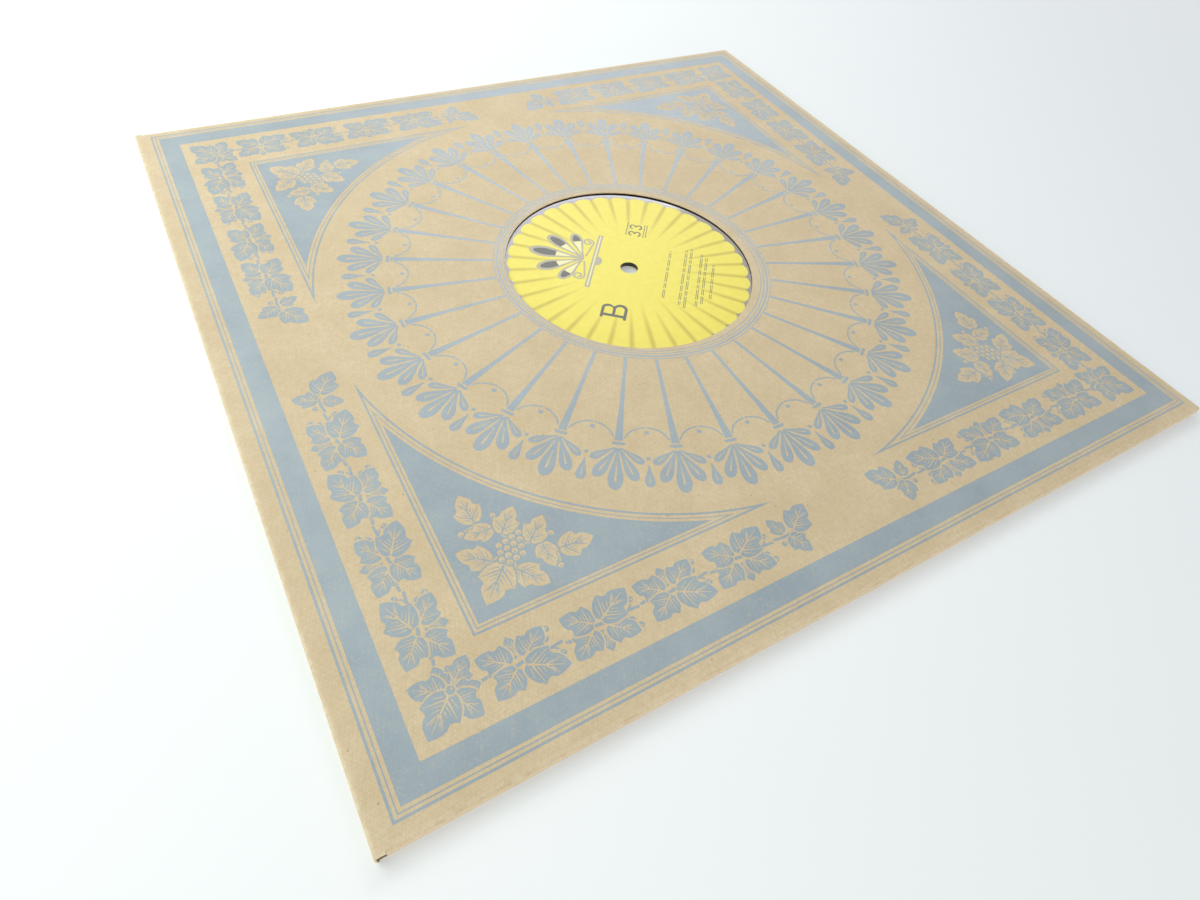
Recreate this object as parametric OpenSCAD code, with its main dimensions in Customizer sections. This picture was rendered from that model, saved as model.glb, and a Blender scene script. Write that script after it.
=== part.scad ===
// Twelve-inch record in its paper inner sleeve and folded card jacket, all in millimetres.
// The jacket lies on its back: origin under the middle of the jacket, +X to the open mouth,
// +Y to the head (the edge above the print) and +Z up through the front panel.
// The record's parts are a pressed disc with a paper label let into each side.
// The inner sleeve is one sheet of paper, folded at the spine side, with a pasted seam along
// its head and foot. The jacket is one card blank, folded round the spine, with a glued flap
// along its head and foot. Both have a round window, so that the label shows from outside.

/* [Record] */
// Diameter of the disc
disc_d = 301.6; // [300:0.1:303]
// Thickness of the disc at its label land and at its rim bead
land_t = 2.0; // [1.8:0.05:2.6]
// Thickness of the disc between them, where the grooves are
groove_t = 1.6; // [1.3:0.05:1.7]
// Width of the raised bead round the rim
bead_w = 3.4; // [2:0.1:6]
// Radius of the disc's rounded edge
edge_r = 0.6; // [0.3:0.05:0.85]
// Width of each slope between the thick and the thin parts of the disc
slope_w = 1.0; // [0.4:0.1:2]
// Width of the raised ring of bare vinyl round each label
land_lip_w = 1.6; // [0.8:0.1:4]
// Diameter of the spindle hole
spindle_d = 7.24; // [7.1:0.01:7.4]
// Diameter of each label
label_d = 100; // [96:0.5:101]
// Thickness of each label, and depth of its seat in the disc
label_t = 0.12; // [0.08:0.01:0.2]
// Gap between a label's edge and the wall of its seat
label_gap = 0.05; // [0.02:0.01:0.2]
// How far the record has slipped towards the foot of its sleeve
record_slip_y = 1.45; // [0:0.05:2]

/* [Inner sleeve] */
// Thickness of the sleeve's paper
paper_t = 0.10; // [0.08:0.01:0.15]
// Play between the disc's edge and each seam
seam_play = 2.8; // [2.4:0.1:5]
// Play between the disc's edge and the fold
fold_play = 1.8; // [1:0.05:4]
// How far the sleeve's mouth reaches past the disc
mouth_cover = 2.9; // [1:0.1:3.5]
// Depth of each pasted seam, measured in from the sleeve's edge
seam_depth = 14; // [10:1:20]
// Diameter of the sleeve's windows
sleeve_window_d = 106; // [104:0.5:110]
// Depth of the thumb notch in the front leaf's mouth
notch_depth = 9; // [5:1:14]
// Radius of the thumb notch
notch_r = 45; // [30:1:70]
// Thickness of the paste in the seams
paste_t = 0.02; // [0.01:0.01:0.05]
// Width of each line of paste or glue
bead_line_w = 6; // [4:1:8]

/* [Jacket] */
// Thickness of the card
board_t = 0.45; // [0.3:0.05:0.6]
// Inside radius of the card at a crease
crease_in_r = 0.45; // [0.2:0.05:0.7]
// Play between the inner sleeve and the head and foot of the jacket
jacket_play = 3.35; // [2:0.05:5]
// Play between the inner sleeve's fold and the spine
spine_play = 2.95; // [1:0.05:6]
// How much wider the jacket is, from spine to mouth, than it is high
extra_width = 1.4; // [0:0.1:4]
// Depth of the head and foot flaps, measured in from the jacket's edge
flap_depth = 18; // [14:1:25]
// Distance from the spine's outside to the start of each flap
flap_relief = 2.8; // [2:0.1:6]
// How far each end of a flap is cut back at its free edge
flap_taper = 8; // [4:1:15]
// How far the back panel stops short of the jacket's head and foot
back_inset = 0.3; // [0:0.1:1]
// Thickness of the glue under the flaps
glue_t = 0.05; // [0.03:0.01:0.1]
// Diameter of the jacket's windows
window_d = 100.4; // [98:0.1:102]
// Distance from the jacket's centre back to the windows' centre, towards the spine
window_back = 0.35; // [0:0.05:2]
// Distance from the jacket's centre up to the windows' centre, towards the head
window_up = 0.8; // [0:0.05:2]

/* [Clearances] */
// Gap between layers that slide on each other
slip_gap = 0.05; // [0.02:0.01:0.1]

/* [Hidden] */
$fn = 128;
// Height by which a cutting tool stands out past what it cuts
cut_over = 1;

// Layers, from the table upwards
z_flap = board_t + glue_t;
z_seam = z_flap + board_t + slip_gap;
z_back_leaf = z_seam + paper_t + paste_t;
z_disc = z_back_leaf + paper_t + slip_gap;
z_front_leaf = z_disc + land_t + slip_gap;
z_front_panel = z_front_leaf + paper_t + slip_gap;
jacket_h = z_front_panel + board_t;

// Inner sleeve: half-round edges, so each edge's radius is half the height that it turns through
sleeve_w = disc_d + 2 * (seam_play + paper_t);
seam_r = (z_front_leaf + paper_t - z_seam) / 2;
fold_r = (z_front_leaf + paper_t - z_back_leaf) / 2;
leaf_w = sleeve_w - 2 * seam_r;

// Jacket: its height takes the sleeve with its play, and it is a little wider than high
jacket_side = sleeve_w + 2 * (jacket_play + board_t);
crease_r = crease_in_r + board_t;
half_h = jacket_side / 2;
half_w = half_h + extra_width / 2;
panel_x0 = crease_r - half_w;

// Places along X, from the spine to the mouths
sleeve_x0 = board_t + spine_play - half_w;
leaf_x0 = sleeve_x0 + fold_r;
disc_x0 = sleeve_x0 + paper_t + fold_play;
record_x = disc_x0 + disc_d / 2;
record_y = -record_slip_y;
sleeve_mouth = disc_x0 + disc_d + mouth_cover;
sleeve_mid_x = (sleeve_x0 + sleeve_mouth) / 2;
disc_r = disc_d / 2;

// A box given by its lowest corner and its highest one
module block(low, high) {
    translate(low) cube(high - low);
}

// A round hole down through everything between two heights
module round_cut(centre, d, low, high) {
    translate([centre[0], centre[1], low - cut_over])
        cylinder(d = d, h = high - low + 2 * cut_over);
}

// A quarter of a bent sheet: the ring's centre at the origin, the quarter towards +X and +Y
module bend_quarter(outer_r, t) {
    intersection() {
        difference() {
            circle(r = outer_r);
            circle(r = outer_r - t);
        }
        square(outer_r);
    }
}

// A sheet turned back on itself: the half ring bulges towards +X
module bend_half(outer_r, t) {
    bend_quarter(outer_r, t);
    mirror([0, 1]) bend_quarter(outer_r, t);
}

// Turns an outline drawn as (outwards, up) into a bar that runs from x0 to x1 along the head
module along_head(x0, x1) {
    translate([x0, 0, 0])
        rotate([90, 0, 90])
            linear_extrude(height = x1 - x0) children();
}

// Turns an outline drawn as (outwards, up) into a bar that runs across the spine side,
// where outwards is towards -X
module along_spine(half_length) {
    translate([0, half_length, 0])
        rotate([90, 0, 0])
            linear_extrude(height = 2 * half_length)
                mirror([1, 0]) children();
}

// Jacket

module window_cut(low, high) {
    round_cut([-window_back, window_up], window_d, low, high);
}

module jacket_front_panel() {
    color("#ccb48c")
        difference() {
            union() {
                block([panel_x0, crease_r - half_h, z_front_panel], [half_w, half_h - crease_r, jacket_h]);
                block([panel_x0, -half_h, z_front_panel], [flap_relief - half_w, half_h, jacket_h]);
            }
            window_cut(z_front_panel, jacket_h);
        }
}

module jacket_back_panel() {
    color("#ccb48c")
        difference() {
            block([panel_x0, back_inset - half_h, 0], [half_w, half_h - back_inset, board_t]);
            window_cut(0, board_t);
        }
}

module jacket_spine() {
    color("#ccb48c")
        along_spine(half_h) {
            translate([half_w - crease_r, jacket_h - crease_r]) bend_quarter(crease_r, board_t);
            translate([half_w - board_t, crease_r]) square([board_t, jacket_h - 2 * crease_r]);
            translate([half_w - crease_r, crease_r]) mirror([0, 1]) bend_quarter(crease_r, board_t);
        }
}

// The jacket's edge at the head: from the front panel's crease down to the flap's crease
module head_edge_card() {
    along_head(flap_relief - half_w, half_w) {
        translate([half_h - crease_r, jacket_h - crease_r]) bend_quarter(crease_r, board_t);
        translate([half_h - board_t, z_flap + crease_r])
            square([board_t, jacket_h - z_flap - 2 * crease_r]);
        translate([half_h - crease_r, z_flap + crease_r]) mirror([0, 1]) bend_quarter(crease_r, board_t);
    }
}

module jacket_head_edge() {
    color("#c8af86") head_edge_card();
}

module jacket_foot_edge() {
    color("#c8af86") mirror([0, 1, 0]) head_edge_card();
}

// The flap at the head: flat, in under the inner sleeve, with its ends cut back
module head_flap_card() {
    translate([0, 0, z_flap])
        linear_extrude(height = board_t)
            polygon([
                [flap_relief - half_w, half_h - crease_r],
                [flap_relief + flap_taper - half_w, half_h - flap_depth],
                [half_w - flap_taper, half_h - flap_depth],
                [half_w, half_h - crease_r]
            ]);
}

module jacket_head_flap() {
    color("#c8af86") head_flap_card();
}

module jacket_foot_flap() {
    color("#c8af86") mirror([0, 1, 0]) head_flap_card();
}

// A line of glue down the middle of the head flap
module head_glue() {
    glue_y = half_h - (flap_depth + crease_r) / 2;
    block(
        [flap_relief + flap_taper - half_w, glue_y - bead_line_w / 2, board_t],
        [half_w - flap_taper, glue_y + bead_line_w / 2, z_flap]
    );
}

module head_glue_line() {
    color("#e6dcb8") head_glue();
}

module foot_glue_line() {
    color("#e6dcb8") mirror([0, 1, 0]) head_glue();
}

// Inner sleeve

module sleeve_window_cut(low) {
    round_cut([sleeve_mid_x, 0], sleeve_window_d, low, low + paper_t);
}

module sleeve_front_leaf() {
    color("#f4f1e8")
        difference() {
            block(
                [leaf_x0, -leaf_w / 2, z_front_leaf],
                [sleeve_mouth, leaf_w / 2, z_front_leaf + paper_t]
            );
            sleeve_window_cut(z_front_leaf);
            round_cut(
                [sleeve_mouth + notch_r - notch_depth, 0], 2 * notch_r,
                z_front_leaf, z_front_leaf + paper_t
            );
        }
}

module sleeve_back_leaf() {
    color("#f4f1e8")
        difference() {
            block(
                [leaf_x0, -leaf_w / 2, z_back_leaf],
                [sleeve_mouth, leaf_w / 2, z_back_leaf + paper_t]
            );
            sleeve_window_cut(z_back_leaf);
        }
}

module sleeve_fold() {
    color("#f4f1e8")
        along_spine(leaf_w / 2)
            translate([-leaf_x0, z_back_leaf + fold_r]) bend_half(fold_r, paper_t);
}

// The sleeve's edge at the head: the front leaf turned under in a half round
module head_turn_paper() {
    along_head(leaf_x0, sleeve_mouth)
        translate([leaf_w / 2, z_seam + seam_r]) bend_half(seam_r, paper_t);
}

module sleeve_head_turn() {
    color("#f4f1e8") head_turn_paper();
}

module sleeve_foot_turn() {
    color("#f4f1e8") mirror([0, 1, 0]) head_turn_paper();
}

// The seam at the head: the strip beyond the turned edge, pasted under the back leaf
module head_seam_paper() {
    block(
        [leaf_x0, sleeve_w / 2 - seam_depth, z_seam],
        [sleeve_mouth, leaf_w / 2, z_seam + paper_t]
    );
}

module sleeve_head_seam() {
    color("#f4f1e8") head_seam_paper();
}

module sleeve_foot_seam() {
    color("#f4f1e8") mirror([0, 1, 0]) head_seam_paper();
}

// A line of paste down the middle of the head seam
module head_paste() {
    paste_y = (sleeve_w + leaf_w) / 4 - seam_depth / 2;
    block(
        [leaf_x0 + bead_line_w, paste_y - bead_line_w / 2, z_seam + paper_t],
        [sleeve_mouth - bead_line_w, paste_y + bead_line_w / 2, z_back_leaf]
    );
}

module head_paste_line() {
    color("#ece6cf") head_paste();
}

module foot_paste_line() {
    color("#ece6cf") mirror([0, 1, 0]) head_paste();
}

// Record

// What the rounding takes off the upper corner of the disc's edge
module edge_corner() {
    translate([disc_r - edge_r, land_t / 2 - edge_r]) difference() {
        square(edge_r + cut_over);
        circle(r = edge_r);
    }
}

// The disc's section, as (radius, height above its middle): the spindle hole, the seat of
// the label, the land round it, the grooved part and the rim bead with its rounded edge
module disc_section() {
    seat_r = label_d / 2 + label_gap;
    land_h = land_t / 2;
    groove_h = groove_t / 2;
    bead_r = disc_r - bead_w;
    face = [
        [spindle_d / 2, land_h - label_t],
        [seat_r, land_h - label_t],
        [seat_r, land_h],
        [seat_r + land_lip_w, land_h],
        [seat_r + land_lip_w + slope_w, groove_h],
        [bead_r - slope_w, groove_h],
        [bead_r, land_h],
        [disc_r, land_h]
    ];
    last = len(face) - 1;
    difference() {
        polygon(concat(face, [for (i = [last:-1:0]) [face[i][0], -face[i][1]]]));
        edge_corner();
        mirror([0, 1]) edge_corner();
    }
}

module vinyl_disc() {
    color("#141414")
        translate([record_x, record_y, z_disc + land_t / 2])
            rotate_extrude() disc_section();
}

module label(low) {
    translate([record_x, record_y, low])
        difference() {
            cylinder(d = label_d, h = label_t);
            translate([0, 0, -cut_over]) cylinder(d = spindle_d, h = label_t + 2 * cut_over);
        }
}

module label_side_a() {
    color("#efe36a") label(z_disc);
}

module label_side_b() {
    color("#efe36a") label(z_disc + land_t - label_t);
}

jacket_front_panel();
jacket_spine();
jacket_back_panel();
jacket_head_edge();
jacket_head_flap();
jacket_foot_edge();
jacket_foot_flap();
head_glue_line();
foot_glue_line();
sleeve_front_leaf();
sleeve_fold();
sleeve_back_leaf();
sleeve_head_turn();
sleeve_head_seam();
sleeve_foot_turn();
sleeve_foot_seam();
head_paste_line();
foot_paste_line();
vinyl_disc();
label_side_a();
label_side_b();
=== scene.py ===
"""A record in its paper inner sleeve and printed card jacket, lying on a white table."""
import math

import bpy
import bmesh
from mathutils import Matrix, Vector
from mathutils.geometry import delaunay_2d_cdt


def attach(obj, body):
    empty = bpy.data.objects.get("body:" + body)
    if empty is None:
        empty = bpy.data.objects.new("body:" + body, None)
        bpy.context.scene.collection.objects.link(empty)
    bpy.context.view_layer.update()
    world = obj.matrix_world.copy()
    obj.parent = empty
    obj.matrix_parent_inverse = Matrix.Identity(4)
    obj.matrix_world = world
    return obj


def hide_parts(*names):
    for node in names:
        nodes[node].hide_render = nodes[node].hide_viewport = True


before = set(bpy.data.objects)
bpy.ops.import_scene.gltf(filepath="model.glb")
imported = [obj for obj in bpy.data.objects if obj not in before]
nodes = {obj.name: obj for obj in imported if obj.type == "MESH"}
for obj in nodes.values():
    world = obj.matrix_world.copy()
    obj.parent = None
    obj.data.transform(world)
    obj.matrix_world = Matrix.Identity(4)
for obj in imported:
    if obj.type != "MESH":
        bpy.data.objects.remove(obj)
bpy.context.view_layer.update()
MM = 0.001

# Sizes in mm, in the frame's own axes: +X to the open mouth, +Y to the head, +Z out of the front.
JACKET_TOP = 3.92             # upper face of the front panel
JACKET_HALF = 157.5           # half the jacket's height
JACKET_REACH = 158.2          # half its width, from spine to mouth
WINDOW_REACH = 97.5           # the windows' cut edges all lie nearer to the middle than this
PRINT_AT = (1.2, 0.66)        # middle of the front's print, a little off the jacket's own
DISC_AT = (-2.1, -1.45)       # the record's axis
LABEL_PRINT_AT = (-1.6, -1.05)    # middle of the labels' print, a little off that axis
LABEL_UP_B = 141.5            # direction of the top of label B's print, in degrees from +X
LABEL_UP_A = 116              # the same of label A, as it lies
LABEL_TOP_B = 3.27            # printed face of the side B label
LABEL_TOP_A = 1.27            # printed face of the side A label, which looks down
FILM = 0.015                  # how far a printed film stands proud, real ink is thinner still
FILM_ROOT = 0.01              # how far its underside is let into the card or paper
FLUTES = 36                   # flutes round the label


# Nodes, colours and shared patterns

def linear(hex_code):
    """An sRGB hex colour as linear red, green, blue and full opacity."""
    parts = [int(hex_code[i:i + 2], 16) / 255 for i in (1, 3, 5)]
    return [p / 12.92 if p <= 0.04045 else ((p + 0.055) / 1.055) ** 2.4 for p in parts] + [1.0]


def add(tree, kind, inputs=(), out=0, **settings):
    """Adds one node with its settings, then fills its inputs with values or links. Gives one of its
    outputs, or the node itself where out is None."""
    node = tree.nodes.new(kind)
    for name, value in settings.items():
        setattr(node, name, value)
    pairs = inputs.items() if isinstance(inputs, dict) else enumerate(inputs)
    for key, value in pairs:
        if isinstance(value, bpy.types.NodeSocket):
            tree.links.new(value, node.inputs[key])
        elif value is not None:
            node.inputs[key].default_value = value
    return node if out is None else node.outputs[out]


def new_material(name):
    """An empty material and its node tree."""
    material = bpy.data.materials.new(name)
    material.use_nodes = True
    material.node_tree.nodes.clear()
    return material, material.node_tree


def close_material(tree, shader):
    """Joins a shader to the material's output."""
    add(tree, "ShaderNodeOutputMaterial", {"Surface": shader}, out=None)


def close_surface(tree, colour, roughness, ior, relief=None, **more):
    """Ends a material in its shader. Relief is a height, its depth in mm and its strength. More is
    any other of the shader's inputs, with _ for a space."""
    inputs = {"Base Color": colour, "Roughness": roughness, "IOR": ior}
    inputs.update({name.replace("_", " "): value for name, value in more.items()})
    if relief:
        height, depth, strength = relief
        inputs["Normal"] = add(tree, "ShaderNodeBump", {
            "Strength": strength, "Distance": depth * MM, "Height": height})
    close_material(tree, add(tree, "ShaderNodeBsdfPrincipled", inputs))


def two_tones(tree, noise, low_tone, high_tone):
    """One tone of a material that goes over into another as a cloudy noise rises."""
    share = add(tree, "ShaderNodeMapRange", (noise, 0.35, 0.65, 0.0, 1.0))
    return add(tree, "ShaderNodeMix", {
        0: share, 6: linear(low_tone), 7: linear(high_tone)}, out=2, data_type="RGBA")


def millimetres(tree, centre=(0, 0)):
    """Object coordinates in mm about a centre, so that a pattern's scale is a real size."""
    place = add(tree, "ShaderNodeTexCoord", out=3)
    return add(tree, "ShaderNodeMapping", {
        "Vector": place, "Location": (-centre[0], -centre[1], 0), "Scale": (1000, 1000, 1000)})


def from_axis(tree, centre):
    """Distance in mm from an upright axis, for what runs round it."""
    flat = add(tree, "ShaderNodeVectorMath", (millimetres(tree, centre), (1, 1, 0)),
               operation="MULTIPLY")
    return add(tree, "ShaderNodeVectorMath", (flat,), out=1, operation="LENGTH")


def fibre_layer(tree, place, turn, length, width, seed):
    """One lay of fibres: noise drawn out along one direction. Length and width in mm."""
    laid = add(tree, "ShaderNodeMapping", {
        "Vector": place, "Location": (seed, 3 * seed, 0), "Rotation": (0, 0, math.radians(turn)),
        "Scale": (length, width, width)}, vector_type="TEXTURE")
    return add(tree, "ShaderNodeTexNoise", {
        "Vector": laid, "Scale": 1.0, "Detail": 2.0, "Roughness": 0.55})


def card_fibres(tree, place):
    """Three crossing lays of kraft fibre, with a soft cloud under them. About 0.5 in the middle."""
    lays = [fibre_layer(tree, place, turn, 4.0, 0.32, seed)
            for turn, seed in ((8, 11), (67, 23), (-52, 37))]
    pair = add(tree, "ShaderNodeMath", (lays[0], lays[1]), operation="ADD")
    three = add(tree, "ShaderNodeMath", (pair, lays[2]), operation="ADD")
    fibres = add(tree, "ShaderNodeMath", (three, 3.0), operation="DIVIDE")
    cloud = add(tree, "ShaderNodeTexNoise", {
        "Vector": place, "Scale": 1 / 17, "Detail": 3.0, "Roughness": 0.6})
    return fibres, cloud


# Materials

def kraft_material():
    """Kraft board is unbleached sulphate pulp, rolled matt and uncoated. It shows crossing brown
    fibres, dark specks of bark, a cloudy ground, pale scuffs where it is creased or knocked, and a
    layered edge where it is cut. That edge's tones carry painted light, made paler to lift the shade
    round the window."""
    material, tree = new_material("unbleached_kraft_board")
    place = millimetres(tree)
    fibres, cloud = card_fibres(tree, place)
    ground = two_tones(tree, cloud, "#cdbb98", "#d5c4a2")
    threads = add(tree, "ShaderNodeMapRange", (fibres, 0.40, 0.60, 0.0, 1.0))
    fibred = add(tree, "ShaderNodeMix", {
        0: threads, 6: linear("#bca47c"), 7: ground}, out=2, data_type="RGBA", clamp_factor=True)
    body = add(tree, "ShaderNodeMix", {0: 0.55, 6: ground, 7: fibred}, out=2, data_type="RGBA")
    # Specks of bark about 0.4 mm across, one every 6 mm or so
    cells = add(tree, "ShaderNodeTexVoronoi", {
        "Vector": place, "Scale": 1 / 6, "Randomness": 1.0}, out=0)
    speck = add(tree, "ShaderNodeMapRange", (cells, 0.03, 0.06, 0.55, 0.0))
    specked = add(tree, "ShaderNodeMix", {
        0: speck, 6: body, 7: linear("#8d6e45")}, out=2, data_type="RGBA")
    # Scuffs along the jacket's outline: the last 1.8 mm and the last 7 mm at the corners, broken up
    # by noise, and fewer on the folded walls
    axes = add(tree, "ShaderNodeSeparateXYZ", (place,), out=None)
    out_x, out_y = [add(tree, "ShaderNodeMath", (axes.outputs[i],), operation="ABSOLUTE")
                    for i in (0, 1)]
    out_x = add(tree, "ShaderNodeMath", (out_x, JACKET_REACH - JACKET_HALF), operation="SUBTRACT")
    reach = add(tree, "ShaderNodeMath", (out_x, out_y), operation="MAXIMUM")
    near_edge = add(tree, "ShaderNodeMapRange", (reach, JACKET_HALF - 1.8, JACKET_HALF, 0.0, 1.0))
    both = add(tree, "ShaderNodeMath", (out_x, out_y), operation="ADD")
    corner = add(tree, "ShaderNodeMapRange", (
        both, 2 * JACKET_HALF - 7, 2 * JACKET_HALF - 1, 0.0, 0.8))
    rubs = add(tree, "ShaderNodeTexNoise", {
        "Vector": place, "Scale": 1 / 2.2, "Detail": 4.0, "Roughness": 0.65})
    broken = add(tree, "ShaderNodeMapRange", (rubs, 0.42, 0.64, 0.1, 0.75))
    facing = add(tree, "ShaderNodeSeparateXYZ", (add(tree, "ShaderNodeNewGeometry", out=1),), out=2)
    upright = add(tree, "ShaderNodeMath", (facing,), operation="ABSOLUTE")
    on_face = add(tree, "ShaderNodeMapRange", (upright, 0.1, 0.9, 0.4, 1.0))
    rubbed = add(tree, "ShaderNodeMath", (near_edge, corner), operation="MAXIMUM")
    scuff = add(tree, "ShaderNodeMath", (rubbed, broken), operation="MULTIPLY")
    worn = add(tree, "ShaderNodeMath", (scuff, on_face), operation="MULTIPLY")
    scuffed = add(tree, "ShaderNodeMix", {
        0: worn, 6: specked, 7: linear("#e0d3b6")}, out=2, data_type="RGBA")
    # Cut edges: walls that look sideways, at the mouth or round the window, with their plies
    side = add(tree, "ShaderNodeMapRange", (upright, 0.3, 0.1, 0.0, 1.0))
    at_mouth = add(tree, "ShaderNodeMath", (
        axes.outputs[0], JACKET_REACH - 0.3), operation="GREATER_THAN")
    inside = add(tree, "ShaderNodeMath", (reach, WINDOW_REACH), operation="LESS_THAN")
    open_edge = add(tree, "ShaderNodeMath", (at_mouth, inside), operation="MAXIMUM")
    cut = add(tree, "ShaderNodeMath", (side, open_edge), operation="MULTIPLY")
    plies = add(tree, "ShaderNodeTexWave", {
        "Vector": place, "Scale": 1.4, "Distortion": 1.5, "Detail": 2.0, "Detail Scale": 0.6},
        out=1, bands_direction="Z")
    # Painted light: the plies' tones are paler than the cut edge itself, to lift the shade in the
    # window's cut
    plies_with_painted_light = add(tree, "ShaderNodeMix", {
        0: plies, 6: linear("#c9b086"), 7: linear("#e3d2ad")}, out=2, data_type="RGBA")
    coloured = add(tree, "ShaderNodeMix", {0: cut, 6: scuffed, 7: plies_with_painted_light}, out=2, data_type="RGBA")
    height = add(tree, "ShaderNodeMath", (fibres, worn, 0.5), operation="SUBTRACT")
    rough = add(tree, "ShaderNodeMapRange", (threads, 0.0, 1.0, 0.78, 0.66))
    close_surface(tree, coloured, rough, 1.45, (height, 0.08, 0.35),
                  Sheen_Weight=0.12, Sheen_Roughness=0.4)
    return material


def print_ink_material():
    """Offset ink, one blue-grey colour laid on the bare card. It lies in a thin matt film, so the
    fibres show through, and it is a little starved on the high ones."""
    material, tree = new_material("blue_grey_offset_ink")
    place = millimetres(tree)
    fibres, cloud = card_fibres(tree, place)
    ink = two_tones(tree, cloud, "#8d9ba3", "#97a5ab")
    starved = add(tree, "ShaderNodeMapRange", (fibres, 0.50, 0.66, 0.0, 0.45))
    bare = add(tree, "ShaderNodeMix", {
        0: starved, 6: ink, 7: linear("#bdb59c")}, out=2, data_type="RGBA")
    dots = add(tree, "ShaderNodeTexNoise", {
        "Vector": place, "Scale": 1 / 0.9, "Detail": 2.0, "Roughness": 0.6})
    specks = add(tree, "ShaderNodeMapRange", (dots, 0.66, 0.74, 0.0, 0.5))
    mottled = add(tree, "ShaderNodeMix", {
        0: specks, 6: bare, 7: linear("#c3b795")}, out=2, data_type="RGBA")
    rough = add(tree, "ShaderNodeMapRange", (fibres, 0.4, 0.6, 0.36, 0.48))
    close_surface(tree, mottled, rough, 1.55, (fibres, 0.06, 0.3))
    return material


def sleeve_paper_material():
    """Wood-free sleeve paper, machine finished and uncoated. It is off-white, with a cloudy look
    where the pulp lies thicker, faint fibres and shallow cockles from handling."""
    material, tree = new_material("wood_free_sleeve_paper")
    place = millimetres(tree)
    formation = add(tree, "ShaderNodeTexNoise", {
        "Vector": place, "Scale": 1 / 6, "Detail": 4.0, "Roughness": 0.6})
    pulp = two_tones(tree, formation, "#edeae1", "#f2f0e8")
    lays = [fibre_layer(tree, place, turn, 3.0, 0.4, seed) for turn, seed in ((15, 5), (-60, 17))]
    fibres = add(tree, "ShaderNodeMath", (lays[0], lays[1]), operation="MULTIPLY")
    threads = add(tree, "ShaderNodeMapRange", (fibres, 0.30, 0.42, 0.0, 0.3))
    laid = add(tree, "ShaderNodeMix", {
        0: threads, 6: pulp, 7: linear("#e2dfd3")}, out=2, data_type="RGBA")
    cockle = add(tree, "ShaderNodeTexNoise", {
        "Vector": place, "Scale": 1 / 45, "Detail": 1.0, "Roughness": 0.4})
    surface = add(tree, "ShaderNodeMath", (cockle, 4.5, fibres), operation="MULTIPLY_ADD")
    close_surface(tree, laid, 0.72, 1.46, (surface, 0.12, 0.4))
    return material


def glue_material():
    """Dried water-based glue, rolled on in a line. It is a yellowish film with a dull gloss,
    pulled into small ridges as the flap was pressed down."""
    material, tree = new_material("dried_white_glue")
    place = millimetres(tree)
    flow = add(tree, "ShaderNodeTexNoise", {
        "Vector": place, "Scale": 1 / 2.5, "Detail": 3.0, "Roughness": 0.5})
    film = add(tree, "ShaderNodeMix", {
        0: flow, 6: linear("#c9b98c"), 7: linear("#e2d8b6")}, out=2, data_type="RGBA")
    close_surface(tree, film, 0.38, 1.48, (flow, 0.03, 0.5))
    return material


def vinyl_material():
    """Record compound, a black filled PVC pressed between hot stampers. It is nearly black and
    glossy, and the grooves draw each reflection out across them."""
    material, tree = new_material("pressed_black_vinyl")
    radius = from_axis(tree, DISC_AT)
    loudness = add(tree, "ShaderNodeTexNoise", {
        "W": radius, "Scale": 1 / 1.3, "Detail": 3.0, "Roughness": 0.7}, noise_dimensions="1D")
    grooved = add(tree, "ShaderNodeMapRange", (loudness, 0.3, 0.7, 0.0, 1.0))
    tone = add(tree, "ShaderNodeMix", {
        0: grooved, 6: linear("#121214"), 7: linear("#1b1b1e")}, out=2, data_type="RGBA")
    dust = add(tree, "ShaderNodeTexNoise", {
        "Vector": millimetres(tree, DISC_AT), "Scale": 1 / 1.1, "Detail": 5.0, "Roughness": 0.75})
    motes = add(tree, "ShaderNodeMapRange", (dust, 0.70, 0.78, 0.0, 0.35))
    dusty = add(tree, "ShaderNodeMix", {
        0: motes, 6: tone, 7: linear("#6b6a68")}, out=2, data_type="RGBA")
    cut_in = add(tree, "ShaderNodeMapRange", (radius, 60.0, 61.0, 0.0, 1.0))
    groove_gloss = add(tree, "ShaderNodeMapRange", (loudness, 0.3, 0.7, 0.18, 0.28))
    rough = add(tree, "ShaderNodeMix", {0: cut_in, 2: 0.09, 3: groove_gloss}, data_type="FLOAT")
    around = add(tree, "ShaderNodeTangent", direction_type="RADIAL", axis="Z")
    close_surface(tree, dusty, rough, 1.54, Anisotropic=0.7, Tangent=around,
                  Coat_Weight=0.25, Coat_Roughness=0.12)
    return material


YELLOWS, FLUTE_SHADE, NOTCH_INK = ("#e4d64e", "#e8db57"), "#c0b039", "#6f6b5c"
NOTCH_R, TIP_R = 47.2, 49.3    # from the middle of the print to the scallops' notches and tips
PRESSED_R = 17.3               # middle of the faint pressed ring round the spindle hole


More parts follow.
